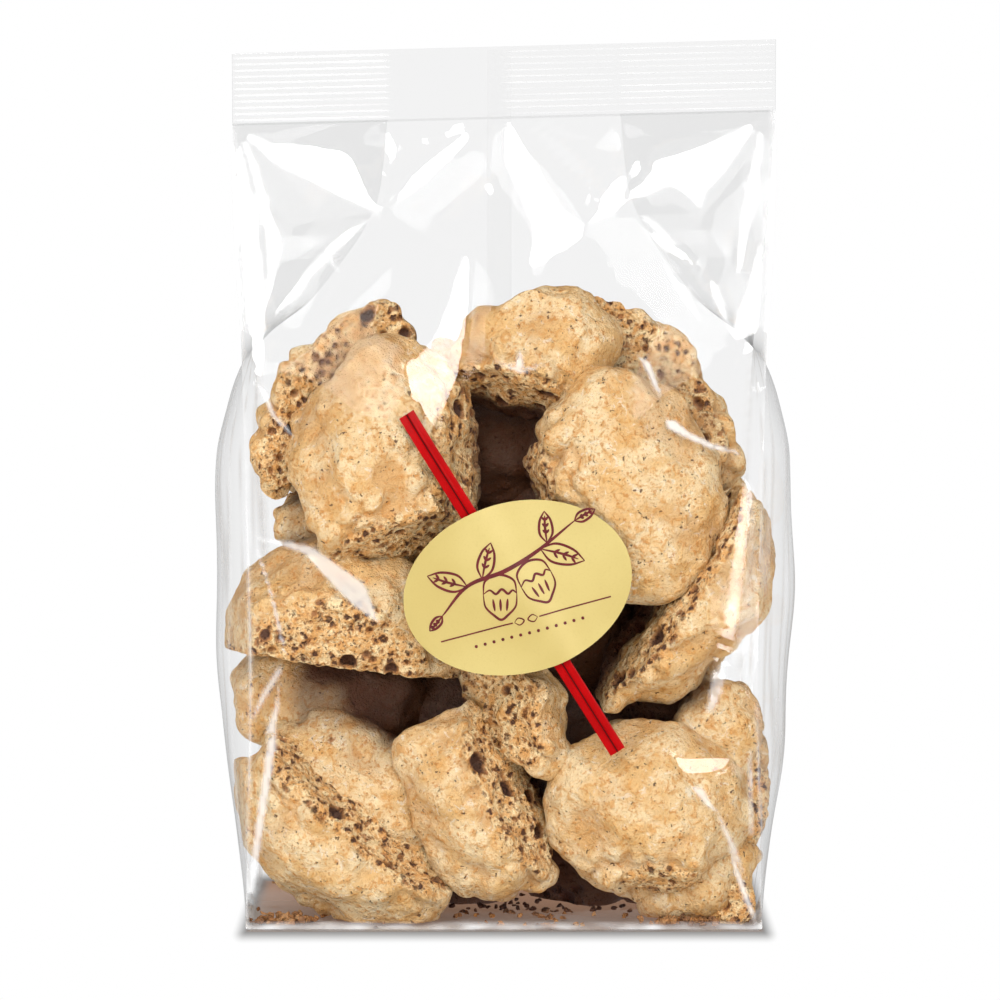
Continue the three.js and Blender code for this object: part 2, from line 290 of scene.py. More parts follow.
def lattice(x, y, z, seed):  # a fixed random number from 0 to 1 at each whole-numbered place
    mask = 0xffffffff
    h = (x * 374761393 + y * 668265263 + z * 1440662683 + seed * 1013904223) & mask
    h = ((h ^ (h >> 13)) * 1274126177) & mask
    h = ((h ^ (h >> 15)) * 739982445) & mask
    return ((h ^ (h >> 16)) & 0xffffff) / 0xffffff


tumble = np.array(Euler((0.7, 0.4, 1.1)).to_matrix())  # keeps the lattice off the axes


def waves(points, size, seed):  # from -1 to 1
    p = points @ tumble / size
    cell = np.floor(p).astype(np.int64)
    f = p - cell
    f = f * f * f * (f * (f * 6 - 15) + 10)
    total = np.zeros(len(p))
    for corner in np.ndindex(2, 2, 2):
        share = np.prod(np.where(corner, f, 1 - f), axis=1)
        total += share * lattice(*(cell + corner).T, seed)
    return total * 2 - 1


# How deep round bubbles cut into a surface. A share of the cells holds one, and most are small.
def bubbles(points, spacing, small, large, share, seed):
    cell = np.floor(points / spacing).astype(np.int64)
    depth = np.zeros(len(points))
    for step in np.ndindex(3, 3, 3):
        there = cell + np.array(step) - 1
        at = np.stack([lattice(*there.T, seed + k) for k in range(3)], axis=1)
        size = small + (large - small) * lattice(*there.T, seed + 3) ** 3
        size = np.where(lattice(*there.T, seed + 4) < share, size, 0)
        away = np.sum(((there + at) * spacing - points) ** 2, axis=1)
        depth = np.maximum(depth, np.sqrt(np.maximum(size * size - away, 0)))
    return depth


def layered(points, layers, seed):  # waves of several (size, height) added up
    return sum(height * waves(points, size, seed + k) for k, (size, height) in enumerate(layers))


def holesIn(points, kinds, seed):  # bubbles of several kinds
    return np.max([bubbles(points, *kind, seed + 10 * k) for k, kind in enumerate(kinds)], axis=0)


def between(value, low, high):  # smooth from 0 at low to 1 at high
    t = np.clip((value - low) / (high - low), 0, 1)
    return t * t * (3 - 2 * t)


# Short forms for what every piece needs.

def named(name):  # the piece that was just added
    piece = bpy.context.object
    piece.name = piece.data.name = name
    return piece


def coordinates(piece, what="vertices", field="co"):
    rows = getattr(piece.data, what)
    flat = np.empty(len(rows) * 3, dtype=np.float32)
    rows.foreach_get(field, flat)
    return flat.reshape(-1, 3).astype(np.float64)


def moveTo(piece, points):
    piece.data.vertices.foreach_set("co", points.astype(np.float32).ravel())
    piece.data.update()


def paint(piece, name, values):
    layer = piece.data.attributes.new(name, "FLOAT", "POINT")
    layer.data.foreach_set("value", values.astype(np.float32))


def applied(piece, kind, **settings):
    modifier = piece.modifiers.new(kind.lower(), kind)
    for key, value in settings.items():
        setattr(modifier, key, value)
    bpy.ops.object.modifier_apply(modifier=modifier.name)


def cutAlong(piece, axis, cuts):  # cuts every edge that runs along an axis
    ends = np.array([edge.vertices[:] for edge in piece.data.edges])
    run = np.abs(np.diff(coordinates(piece)[ends][..., axis], axis=1)).ravel()
    bpy.ops.object.mode_set(mode="EDIT")
    bpy.ops.mesh.select_mode(type="EDGE")
    bpy.ops.mesh.select_all(action="DESELECT")
    bpy.ops.object.mode_set(mode="OBJECT")
    piece.data.edges.foreach_set("select", run > 1e-4)
    bpy.ops.object.mode_set(mode="EDIT")
    bpy.ops.mesh.subdivide(number_cuts=cuts, ngon=False)
    bpy.ops.object.mode_set(mode="OBJECT")


def joined(pieces, name):
    bpy.ops.object.select_all(action="DESELECT")
    for piece in pieces:
        piece.select_set(True)
    bpy.context.view_layer.objects.active = pieces[0]
    bpy.ops.object.join()
    return named(name)


def place(piece, material, slot, *nodes):  # a finished piece, from the bag's axes to the frame
    piece.data.transform(toFrame)
    piece.data.materials.clear()
    piece.data.materials.append(material)
    bpy.ops.object.select_all(action="DESELECT")
    piece.select_set(True)
    bpy.ops.object.shade_smooth_by_angle(angle=math.radians(40))
    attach(piece, "root")
    if nodes:
        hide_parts(*nodes)


# The form of the bag.

bag = {
    "height": 224,
    "flatWidth": 140,
    "gussetFold": 40,
    "base": (131, 70),
    "bulge": (149, 80),
    "fill": 150,  # where the cookies end and the film draws in
    "sealHeight": 18,
    "sealThickness": 1.0,
    "sealRise": 3.6,  # from the left to the right
}
sealFoot = bag["height"] - bag["sealHeight"]
halfFlat, halfBase, halfBulge = bag["flatWidth"] / 2, bag["base"][0] / 2, bag["bulge"][0] / 2
baseDepth, bulgeDepth, fill = bag["base"][1] / 2, bag["bulge"][1] / 2, bag["fill"]


def profile(*stops):  # a smooth line through (height, value) stops that never overshoots them
    heights, values = (np.array(column, dtype=float) for column in zip(*stops))
    slopes = np.diff(values) / np.diff(heights)
    below, above = slopes[:-1], slopes[1:]
    same = below * above > 0
    middle = np.where(same, 2 * below * above / np.where(same, below + above, 1), 0)
    tangents = np.concatenate([slopes[:1], middle, slopes[-1:]])

    def at(z):
        z = np.clip(z, heights[0], heights[-1])
        i = np.clip(np.searchsorted(heights, z) - 1, 0, len(slopes) - 1)
        run = heights[i + 1] - heights[i]
        t = (z - heights[i]) / run
        a, b, m, n = values[i], values[i + 1], tangents[i] * run, tangents[i + 1] * run
        return a + t * (m + t * (3 * (b - a) - 2 * m - n + t * (2 * (a - b) + m + n)))
    return at


foldWidth = profile(
    (0, halfBase), (20, halfBase - 0.5), (65, halfBase - 1.5), (fill - 40, halfBase - 0.5),
    (fill, halfFlat - 3.5), (fill + 30, halfFlat - 1), (sealFoot, halfFlat))
foldDepth = profile(
    (0, baseDepth), (60, baseDepth - 1), (fill - 25, baseDepth - 4), (fill, baseDepth - 11),
    (fill + 25, 12), (sealFoot - 7, 2.4), (sealFoot, 0.45))
crownDepth = profile(
    (0, baseDepth + 0.5), (18, baseDepth + 2.5), (70, bulgeDepth), (fill - 30, bulgeDepth - 1),
    (fill + 5, bulgeDepth - 12), (fill + 30, 15.5), (sealFoot - 7, 3.2), (sealFoot, 0.75))
gussetReach = profile(
    (0, halfBase + 1), (20, halfBulge - 5), (50, halfBulge - 1.5), (92, halfBulge),
    (fill - 32, halfBulge - 0.5), (fill - 18, halfBulge - 3), (fill - 8, halfFlat - 2),
    (fill, halfFlat - 9), (fill + 10, halfFlat - 21),
    (fill + 38, halfFlat - bag["gussetFold"] + 2), (sealFoot, halfFlat - bag["gussetFold"]))
gussetSharpness = profile(
    (0, 0), (fill - 25, 0.1), (fill + 6, 0.85), (fill + 22, 1), (sealFoot, 1))

# Swells over cookies as (x or y, z, rise, spread); creases as (from, to, rise, reach).
swells = {
    "front": [(-29, 118, 2.4, 17), (31, 114, 2.4, 17), (50, 80, 2, 15), (-42, 74, 1.8, 15),
              (-43, 28, 1.8, 17), (-4, 32, 1.6, 15), (40, 29, 2.2, 18)],
    "back": [(33, 122, 2.2, 16), (-24, 116, 2.5, 17), (6, 84, 2, 15), (-46, 70, 2, 15),
             (45, 62, 2.2, 17), (-22, 30, 1.9, 16), (26, 24, 1.9, 15)],
    "left": [(-8, 112, 1.2, 14), (10, 66, 1.2, 15), (-12, 34, 1, 12)],
    "right": [(-6, 84, 1.4, 15), (14, 116, 1, 13), (4, 38, 1.2, 15)],
}
creases = {
    "front": [((-68, 203), (-31, 184), 3, 13), ((-30, 204), (-31, 184), 1.6, 8),
              ((-31, 184), (-8, 203), 2.6, 11), ((2, 204), (21, 179), 2.8, 12),
              ((21, 179), (68, 205), 3, 12), ((-31, 184), (-58, 156), 2.4, 12),
              ((33, 180), (52, 158), -1.8, 11), ((52, 158), (66, 190), 2, 10)],
    "back": [((-66, 203), (-26, 180), 2.8, 12), ((-26, 180), (-4, 202), 2.2, 10),
             ((10, 203), (30, 182), 2.4, 11), ((30, 182), (66, 204), 2.8, 12),
             ((30, 182), (56, 155), -1.8, 11), ((-26, 180), (-54, 156), 2, 11)],
}


def swell(across, z, bumps):
    return sum(rise * np.exp(-((across - a) ** 2 + (z - b) ** 2) / spread ** 2)
               for a, b, rise, spread in bumps)


def crease(x, z, folds):  # where creases meet the tallest shows
    highest, lowest = np.zeros_like(x), np.zeros_like(x)
    for start, end, rise, reach in folds:
        dx, dz = end[0] - start[0], end[1] - start[1]
        along = ((x - start[0]) * dx + (z - start[1]) * dz) / (dx * dx + dz * dz)
        along = np.clip(along, 0, 1)
        away = np.hypot(x - start[0] - along * dx, z - start[1] - along * dz)
        height = rise * np.maximum(0, 1 - away / reach)
        highest, lowest = np.maximum(highest, height), np.minimum(lowest, height)
    return highest + lowest


def panelDepth(x, z, side, sharpCreases=1):  # how far the front or the back stands from the axis
    across = np.clip(np.abs(x / foldWidth(z)), 0, 1)
    crown = 1 - across ** 2.3
    relief = swell(x, z, swells[side]) + crease(x, z, creases[side]) * sharpCreases
    calm = between(sealFoot - z, 0, 14) * between(z, 1, 14) * (1 - across ** 6)
    return foldDepth(z) + (crownDepth(z) - foldDepth(z)) * crown + relief * calm


def gussetX(turn, z, reach, side):  # turn runs from -1 at the front fold to 1 at the back fold
    bow = 1 - turn * turn
    shape = bow + (1 - np.abs(turn) - bow) * gussetSharpness(z)
    full = 1 - between(z, fill - 25, fill)
    relief = swell(turn * foldDepth(z), z, swells[side]) * bow * full
    return foldWidth(z) + (reach - foldWidth(z)) * shape + relief


def lean(x, z):
    return bag["sealRise"] * x / bag["flatWidth"] * between(z, fill, sealFoot)


label = {
    "length": 58,
    "width": 43,
    "thickness": 0.3,
    "turn": 15,
    "centre": (3.4, 88.3),
    "rings": 12,
    "sectors": 120,
}
tie = {
    "length": 100,
    "width": 4.2,
    "thickness": 0.3,
    "bead": 0.75,  # the wire's height
    "wire": 1.1,  # and its width
    "turn": -58,
    "centre": (2.1, 89.2),
    "edgeDrop": 0.12,
}
gap = 0.3  # between pieces that touch


def turned(x, z, piece):  # across the front, to a piece's own length and width
    a = math.radians(piece["turn"])
    dx, dz = x - piece["centre"][0], z - piece["centre"][1]
    return dx * math.cos(a) + dz * math.sin(a), dz * math.cos(a) - dx * math.sin(a)


def fromPiece(u, v, piece):  # and back
    a = math.radians(piece["turn"])
    return (piece["centre"][0] + u * math.cos(a) - v * math.sin(a),
            piece["centre"][1] + u * math.sin(a) + v * math.cos(a))


# Flat facets in the slack front film: the softbox that each is tipped to mirror to the camera, how
# glossy it is, and its outline of (x, z) points. The film between them follows.
facets = [
    ("highLeft", 1, [(-68.5, 204.5), (-60, 200.5), (-50, 200), (-42, 199.3), (-38.5, 197), (-36, 190),
                     (-33, 184.5), (-31, 183.5), (-34.5, 183.2), (-44, 187.7), (-54, 193), (-59.5, 196),
                     (-64, 200.5)]),
    ("highLeft", 1, [(-29.7, 205), (-27.3, 200), (-27.5, 196), (-31, 184.5), (-32, 184.5), (-31, 192),
                     (-30.3, 198)]),
    ("highRight", 1, [(-31, 183.3), (-24, 187), (-19.5, 190.5), (-13, 196.5), (-6, 204.6), (-10, 202),
                      (-15, 199), (-21, 194), (-25, 189.5), (-28, 185.5)]),
    ("highRight", 0.7, [(-25, 199.5), (-17, 201.5), (-11, 205.5), (-9.5, 205), (-9.8, 203),
                        (-16, 200)]),
    ("highLeft", 1, [(-34.5, 181.3), (-40, 177.5), (-45, 172.5), (-50, 166.5), (-53, 163), (-59.5, 156),
                     (-57, 157), (-51.5, 161.5), (-49.5, 165.5), (-45.5, 169.5), (-43, 172.5),
                     (-38, 177.5)]),
    ("highLeft", 1, [(-69, 204), (-68.3, 190), (-66.3, 172), (-65.2, 159), (-63.6, 148), (-62.8, 140),
                     (-61.5, 140), (-60.8, 150), (-60.3, 158), (-61.8, 168), (-64, 183), (-66.5, 194)]),
    ("highLeft", 1, [(-68.5, 205), (-63.3, 194.5), (-60.3, 183), (-57, 176), (-58, 168), (-59.5, 157),
                     (-60, 158), (-59.8, 170), (-60.8, 178), (-62.5, 186), (-65.5, 197)]),
    ("highRight", 0.9, [(-9, 171.5), (-8, 167), (-8.5, 158), (-10, 148), (-11.5, 140), (-15, 133.5),
                        (-18, 129.5), (-22.5, 131), (-23.5, 136), (-25.5, 144), (-21.5, 145.5),
                        (-17, 151), (-13.5, 159), (-10.5, 169)]),
    ("highLeft", 1, [(-3.8, 190), (-2.5, 188.3), (-3.9, 184.3), (-4.9, 188)]),
    ("highLeft", 1, [(1.5, 205), (0.3, 200), (0.3, 194.5), (4.5, 186), (7.3, 179), (8, 175), (6, 169),
                     (7.5, 167.8), (14, 171.5), (20.5, 175.3), (20.8, 178), (15, 181.5), (11, 188),
                     (7, 195), (3.2, 202.5)]),
    ("highRight", 0.6, [(21, 189.5), (22.8, 190), (23.3, 187), (22.2, 180), (21.3, 184)]),
    ("highRight", 1, [(66.5, 204.5), (60, 200.5), (50, 197), (42, 195), (36, 194), (38, 191.5),
                      (33, 187), (31, 184.5), (33, 184), (42, 188), (46, 186), (50, 182), (51.5, 186),
                      (57, 191.5), (61, 197)]),
    ("highRight", 1, [(22, 178.7), (24, 184), (29, 190.5), (30.5, 190), (31, 184.5), (32, 184),
                      (27, 181)]),
    ("highRight", 0.8, [(29, 203), (30, 197), (33.5, 188.5), (36.5, 193), (33, 196)]),
    ("highRight", 1, [(66.5, 203), (64, 192), (61, 181), (59.7, 172), (59.4, 165.5), (60.5, 168),
                      (62, 176), (64.2, 184), (65.8, 193)]),
    ("highRight", 0.9, [(65.5, 173), (62, 162), (57.3, 151), (60, 150.3), (63.5, 151), (64.5, 160)]),
    ("right", 0.7, [(58, 150.5), (62, 150.3), (64, 143), (66, 135), (61.5, 143)]),
    ("highRight", 0.8, [(36, 176.5), (43, 173.2), (50, 168), (49, 167.8), (42, 171)]),
    ("highRight", 0.7, [(40.5, 168.5), (46, 162), (49.5, 154.5), (45, 160)]),
    ("highRight", 0.9, [(51, 167), (54, 163), (57.3, 152), (55, 156), (52.5, 162)]),
    ("highRight", 0.6, [(2.3, 142.3), (4, 147.8), (5.2, 143.5), (3.5, 142)]),
    ("right", 0.8, [(61, 115), (58.5, 104), (57.5, 92), (55.5, 80), (52.5, 68), (50.5, 55), (53, 57),
                    (55.5, 66), (58.5, 78), (60.5, 95), (63, 110)]),
    ("highRight", 0.75, [(42, 46.5), (46, 45.5), (57.5, 45.5), (56, 41), (50, 40.5), (45.5, 40)]),
]
# Faint reflections that are too thin for a facet are painted on the film as milky white: how milky it
# is painted there, and the outline.
veils = [
    (0.4, [(-62, 138.5), (-59.5, 136), (-57.5, 131), (-54, 127.5), (-53, 125.5), (-56, 128.5),
           (-58.5, 131)]),
    (0.55, [(-62, 139), (-60, 137), (-57.8, 131), (-60, 134.5)]),
    (0.55, [(34, 145.5), (36.5, 144.5), (39.5, 136), (38, 137.5), (36, 142)]),
    (0.6, [(40.5, 130), (43, 129.8), (46, 127), (52, 124), (60, 121.3), (52, 122.8), (45, 126),
           (41, 128)]),
    (0.42, [(-63, 100), (-55, 99.5), (-48, 98), (-40, 92.5), (-35, 89), (-33, 84), (-31.5, 79.5),
            (-38, 84), (-46, 92), (-50, 96.5), (-56, 98.5)]),
    (0.65, [(-63, 99.5), (-60.5, 93), (-57, 81), (-54.8, 70), (-56.2, 75), (-59, 87)]),
    (0.4, [(-56.5, 68), (-56, 66.5), (-60, 60), (-64, 53), (-61.5, 60)]),
    (0.45, [(-56.3, 64), (-57, 57), (-57.7, 50.5), (-60, 51), (-57.8, 57)]),
    (0.5, [(-57.3, 51), (-58.5, 42), (-60.5, 30), (-63.5, 10), (-65, 10), (-63, 25), (-60.8, 40),
           (-59.5, 49)]),
    (0.35, [(-46, 172), (-43, 168), (-41, 166), (-43.5, 170)]),
    (0.5, [(47, 38), (50, 37.3), (53.5, 31), (51, 33)]),
    (0.4, [(53.5, 32), (58.5, 22), (61, 14), (58, 20), (55, 27)]),
    (0.55, [(57, 22), (60, 14), (63, 6), (64, 1.5), (61, 8), (58.5, 15)]),
    (0.4, [(62, 47), (62.8, 40), (62.8, 25), (62.2, 25), (61.8, 40)]),
    (0.16, [(61.5, 114), (63, 112), (63.5, 95), (63.5, 72), (57, 68), (59, 78), (61, 95)]),
    (0.3, [(52.5, 66), (56, 70), (55, 62), (53, 57), (50.8, 56)]),
    (0.45, [(-3, 145), (4, 141.5), (11, 144), (4, 142.5)]),
    (0.4, [(2.3, 142.3), (4, 147.8), (5.2, 143.5)]),
]
facetGrid = {
    "step": 0.85,  # millimetres between the points that are solved for
    "slackPull": 0.12,  # how firmly the film between facets keeps its slope
    "glareClear": 0.12,  # and how far that slope is kept from one that would mirror a softbox
    "glarePull": 0.7,
    "rounds": 1200,
}


def insideOutline(x, z, outline):
    inside = np.zeros(x.shape, dtype=bool)
    for (ax, az), (bx, bz) in zip(outline, outline[1:] + outline[:1]):
        if az != bz:
            crosses = (az > z) != (bz > z)
            inside ^= crosses & (x < (bx - ax) * (z - az) / (bz - az) + ax)
    return inside


def mirrorSlopes(x, z, depth, name):  # the slopes of a film that mirrors a softbox to the camera
    at = np.stack([x, -depth, z], axis=-1)
    box = lightPlace(studio["softboxes"][name])
    ways = [np.array(target) - at for target in (cameraPlace, box)]
    half = sum(way / np.linalg.norm(way, axis=-1, keepdims=True) for way in ways)
    return half[..., 0] / half[..., 1], half[..., 2] / half[..., 1]


# The facets' slopes are wanted inside them, and the bag's own elsewhere: conjugate gradients find
# the depth that comes nearest. It stays put at the folds, the base, the seal, the label and the tie.
def facetRelief():
    step = facetGrid["step"]
    xs, zs = np.arange(-halfFlat - step, halfFlat + step, step), np.arange(0, sealFoot, step)
    x, z = np.meshgrid(xs, zs)
    soft = panelDepth(x, z, "front", 0)
    full = panelDepth(x, z, "front")
    baseZ, baseX = np.gradient(full, step)
    weight = np.full(x.shape, facetGrid["slackPull"])
    wantX, wantZ = np.zeros(x.shape), np.zeros(x.shape)
    mirrors = {name: mirrorSlopes(x, z, soft, name) for name in studio["softboxes"]}
    for slopeX, slopeZ in mirrors.values():
        away = np.hypot(baseX - slopeX, baseZ - slopeZ) + 1e-6
        push = np.maximum(facetGrid["glareClear"] / away - 1, 0)
        wantX, wantZ = wantX + (baseX - slopeX) * push, wantZ + (baseZ - slopeZ) * push
        weight[push > 0] = facetGrid["glarePull"]
    for name, _, outline in facets:
        inside = insideOutline(x, z, outline)
        weight[inside] = 1
        wantX[inside] = (mirrors[name][0] - baseX)[inside]
        wantZ[inside] = (mirrors[name][1] - baseZ)[inside]
    labelU, labelV = turned(x, z, label)
    tieU, tieV = turned(x, z, tie)
    free = (np.abs(x) < foldWidth(z) - 0.8) & (z > 1) & (z < sealFoot - 1)
    free &= np.hypot(labelU / label["length"], labelV / label["width"]) > 0.51
    free &= (np.abs(tieU) > tie["length"] / 2 + 1) | (np.abs(tieV) > tie["width"])
    weightX = np.minimum(weight[:, 1:], weight[:, :-1])
    weightZ = np.minimum(weight[1:], weight[:-1])
    wantX, wantZ = (wantX[:, 1:] + wantX[:, :-1]) / 2, (wantZ[1:] + wantZ[:-1]) / 2

    def spread(flowX, flowZ):
        total = np.zeros(x.shape)
        total[:, :-1] -= flowX
        total[:, 1:] += flowX
        total[:-1] -= flowZ
        total[1:] += flowZ
        return total * free

    def pull(height):
        return spread(weightX * np.diff(height, axis=1), weightZ * np.diff(height, axis=0))

    height = np.zeros(x.shape)
    left = spread(weightX * wantX * step, weightZ * wantZ * step)
    way = left.copy()
    size = np.sum(left * left)
    for _ in range(facetGrid["rounds"]):
        pulled = pull(way)
        share = size / np.sum(way * pulled)
        height += share * way
        left -= share * pulled
        size, last = np.sum(left * left), size
        way = left + way * size / last

    def at(px, pz):
        i = np.clip((px - xs[0]) / step, 0, len(xs) - 1.001)
        j = np.clip((pz - zs[0]) / step, 0, len(zs) - 1.001)
        a, b = i.astype(int), j.astype(int)
        s, t = i - a, j - b
        low = height[b, a] * (1 - s) + height[b, a + 1] * s
        high = height[b + 1, a] * (1 - s) + height[b + 1, a + 1] * s
        return low * (1 - t) + high * t

    print("film facets stand", round(height.min(), 1), "to", round(height.max(), 1), "mm proud")
    return at


relief = facetRelief()


def drawn(x, z, outlines, rest):  # outlines with a value each, painted softly over the rest
    total = np.zeros(x.shape)
    nudges = [(a, b) for a in (-0.25, 0.25) for b in (-0.25, 0.25)]
    for a, b in nudges:
        level = np.full(x.shape, float(rest))
        for *_, value, outline in outlines:
            level[insideOutline(x + a, z + b, outline)] = value
        total += level / len(nudges)
    return total


def frontDepth(x, z):
    return panelDepth(x, z, "front") + relief(x, z)


def backDepth(x, z):
    return panelDepth(x, z, "back") + relief(-x, z)


def onFront(x, z, out):
    return np.stack([x, -frontDepth(x, z) - out, z], axis=-1)


film = {
    "frontColumns": 196,
    "backColumns": 68,
    "gussetColumns": 44,
    "cuts": (3, 69),  # rows are cut in two goes, because one can't make so many
    "softEdge": (1.2, 0.985, 0.97),  # the base's rounding: its height and how far it draws in
    "clear": (0.995, 0.995, 0.995, 1),
    "glossAtFront": 0.05,
    "glossAtSeam": 0.008,
    "dull": 0.12,
    "edgeShine": 0.6,
    "glossAtEdge": 0.6,
    "roughness": 0.03,
    "ribMilkAndGlint": 0.42,
    "foldGlint": 0.16,
    "foldReach": 1.1,
    "wrinkleGlint": 0.24,
    "baseGlint": 0.8,
    "baseReach": 3,
}


def filmFinish(name, atFront):  # its shine is painted on the mesh, and so is white: mostly painted reflections, with some milkiness of the film
    look = Finish(name)
    slack = look.noise(26, 1, 0.4)
    facing = look.node("ShaderNodeLayerWeight", output="Facing")
    share = atFront + (film["glossAtEdge"] - atFront) * facing ** 4
    bump = look.bump(slack, 0.9, 0.4)
    clear = look.node("ShaderNodeBsdfTransparent", inputs={"Color": film["clear"]})
    slackGloss, gloss = (look.node("ShaderNodeBsdfGlossy", inputs={
        "Color": (bright, bright, bright, 1), "Roughness": film["roughness"], "Normal": bump})
        for bright in (0, 1))
    gloss = look.node("ShaderNodeMixShader", inputs={
        0: look.painted("shine"), 1: slackGloss, 2: gloss})
    smooth = look.node("ShaderNodeMixShader", inputs={0: share, 1: clear, 2: gloss})
    # Painted reflections: white mixed in where the film should catch light, with some real milkiness at
    # the seal's welds and the back seam.
    milkAndGlintWhite = look.node("ShaderNodeBsdfDiffuse", inputs={"Color": (1, 1, 1, 1)})
    return look.finish(look.node("ShaderNodeMixShader", inputs={
        0: look.painted("milk"), 1: smooth, 2: milkAndGlintWhite}))


# A column runs up the film, counted from the front's left fold to the right and on round the back.
def filmPoints(column, z):
    counts = np.array([film[key] for key in
                       ("frontColumns", "gussetColumns", "backColumns", "gussetColumns")])
    starts = np.concatenate([[0], np.cumsum(counts)[:-1]])
    stretch = np.searchsorted(starts, column, side="right") - 1
    run = 2 * (column - starts[stretch]) / counts[stretch] - 1
    reach = gussetReach(z)
    x = np.choose(stretch, [
        run * foldWidth(z), gussetX(run, z, reach, "right"),
        -run * foldWidth(z), -gussetX(run, z, reach, "left")])
    y = np.choose(stretch, [
        -frontDepth(x, z), run * foldDepth(z), backDepth(x, z), -run * foldDepth(z)])
    high, drawX, drawY = film["softEdge"]
    under = 1 - np.sqrt(1 - np.clip(1 - z / high, 0, 1) ** 2)
    return np.stack([x * (1 - (1 - drawX) * under), y * (1 - (1 - drawY) * under),
                     z + lean(x, z)], axis=1)


def addFilm(material):
    columns = film["frontColumns"] + film["backColumns"] + 2 * film["gussetColumns"]
    bpy.ops.mesh.primitive_cylinder_add(vertices=columns, radius=1, depth=1,
                                        location=(0, 0, 0.5), end_fill_type="NGON")
    piece = named("film")
    bpy.ops.object.transform_apply()
    for cuts in film["cuts"]:
        cutAlong(piece, 2, cuts)
    points = coordinates(piece)
    angle = np.arctan2(points[:, 1], points[:, 0])
    column = np.round((angle - angle[0]) * columns / math.tau) % columns
    points = filmPoints(column, points[:, 2] * sealFoot)
    moveTo(piece, points)
    x, y, z = points.T
    front, back = (drawn(side * x, z - lean(x, z), facets, film["dull"]) for side in (1, -1))
    flat = np.abs(x) < foldWidth(z) - 0.5
    paint(piece, "shine", np.where(flat, np.where(y < 0, front, back), film["edgeShine"]))
    # Painted reflections: pale streaky lines along the folds and the base's front edge, and pale
    # wrinkle lines on the gussets.
    streaks = 0.6 + 0.6 * waves(points * (1, 1, 3), 5, 30)
    toFold = np.abs(np.abs(x) - foldWidth(z))
    fold = between(film["foldReach"] - toFold, 0, 0.8) * film["foldGlint"]
    base = between(film["baseReach"] - z, 0, 1.8) * (y < 0) * film["baseGlint"]
    wrinkled = np.abs(waves(points * (0.6, 1, 0.07) + waves(points, 40, 32)[:, None], 6, 31))
    wrinkle = between(wrinkled, 0.22, 0.02) * ~flat * film["wrinkleGlint"]
    # Painted reflections: the veils, on the front film only.
    veil = drawn(x, z - lean(x, z), veils, 0) * flat * (y < 0)
    paint(piece, "milk", np.clip((fold + base) * streaks + wrinkle + veil, 0, 1))
    place(piece, material, "film", "bag")


seal = {
    "ribs": 11,
    "ribRise": 0.22,
    "margin": 0.5,  # above the ribs and below them
    "ribSteps": 11,
    "columns": 98,
    "singleRibs": 0.6,  # how far ribs show where no gusset is folded in
    "sag": (16, 0.25),
    "shine": 0.5,
}


def addSeal(material):
    margin = seal["margin"]
    pitch = (bag["sealHeight"] - 2 * margin) / seal["ribs"]
    bpy.ops.mesh.primitive_cube_add(size=1, location=(0, 0, 0.5))
    piece = named("seal")
    bpy.ops.object.transform_apply()
    cutAlong(piece, 2, round(bag["sealHeight"] / pitch * seal["ribSteps"]))
    cutAlong(piece, 0, seal["columns"])
    points = coordinates(piece)
    x, z = points[:, 0] * bag["flatWidth"], points[:, 2] * bag["sealHeight"]
    fold = halfFlat - bag["gussetFold"]
    doubled = between(np.abs(x), fold - 0.8, fold + 0.8) * between(halfFlat - np.abs(x), 0, 0.8)
    partly = between(x, 0, 1.5) * between(fold - 1.5 - x, 0, 1) * seal["singleRibs"]
    phase = (z - margin) / pitch % 1
    rib = (1 - np.abs(2 * phase - 1)) * between(z, 0, margin) * between(
        bag["sealHeight"] - z, 0, margin)
    sag = layered(np.stack([x, 0 * x, z * 0.4], axis=1), (seal["sag"],), 5)
    half = bag["sealThickness"] / 2 + seal["ribRise"] * rib * np.maximum(doubled, partly)
    half *= 1 - 0.2 * (z > bag["sealHeight"] - 0.1)
    up = sealFoot - 0.5 + z * (bag["sealHeight"] + 0.5) / bag["sealHeight"]
    moveTo(piece, np.stack(
        [x, np.sign(points[:, 1]) * half + sag * between(z, 0, 4), up + lean(x, sealFoot)], axis=1))
    # Painted highlights: white lines on the front of the rib crests where gussets are folded in, partly
    # the weld's own milkiness.
    taper = 0.35 + 0.65 * between(-x, -halfFlat, halfFlat)
    line = between(rib, 1 - 0.42 * taper, 1 - 0.12 * taper) * (points[:, 1] < 0)
    count = np.floor((z - margin) / pitch)
    streak = 0.7 + 0.5 * waves(np.stack([x, 0 * x, count * 20], axis=1), 14, 12)
    paint(piece, "milk", line * np.maximum(doubled, partly) * streak * film["ribMilkAndGlint"])
    paint(piece, "shine", np.full(len(x), seal["shine"]))
    place(piece, material, "film", "bag")


backSeam = {
    "width": 6.4,
    "shift": -1.2,
    "thickness": 0.25,
    "rows": 200,
    "columns": 8,
    "shine": 0.5,
    "milk": 0.02,
}


def addBackSeam(material):  # the tube's long seam, a fin folded flat against the back
    bpy.ops.mesh.primitive_grid_add(
        x_subdivisions=backSeam["columns"], y_subdivisions=backSeam["rows"], size=2)
    piece = named("backSeam")
    points = coordinates(piece)
    x = backSeam["shift"] + points[:, 0] * backSeam["width"] / 2
    z = 1.5 + (0.5 - points[:, 1] / 2) * (bag["height"] - 2.5)
    depth = np.where(z < sealFoot, backDepth(x, np.minimum(z, sealFoot)), 0)
    depth = np.maximum(depth, bag["sealThickness"] / 2 + 0.1) + 0.15
    moveTo(piece, np.stack([x, depth, z + lean(x, z)], axis=1))
    for name in ("shine", "milk"):
        paint(piece, name, np.full(len(x), backSeam[name]))
    applied(piece, "SOLIDIFY", thickness=backSeam["thickness"], offset=0)
    place(piece, material, "film", "bag")


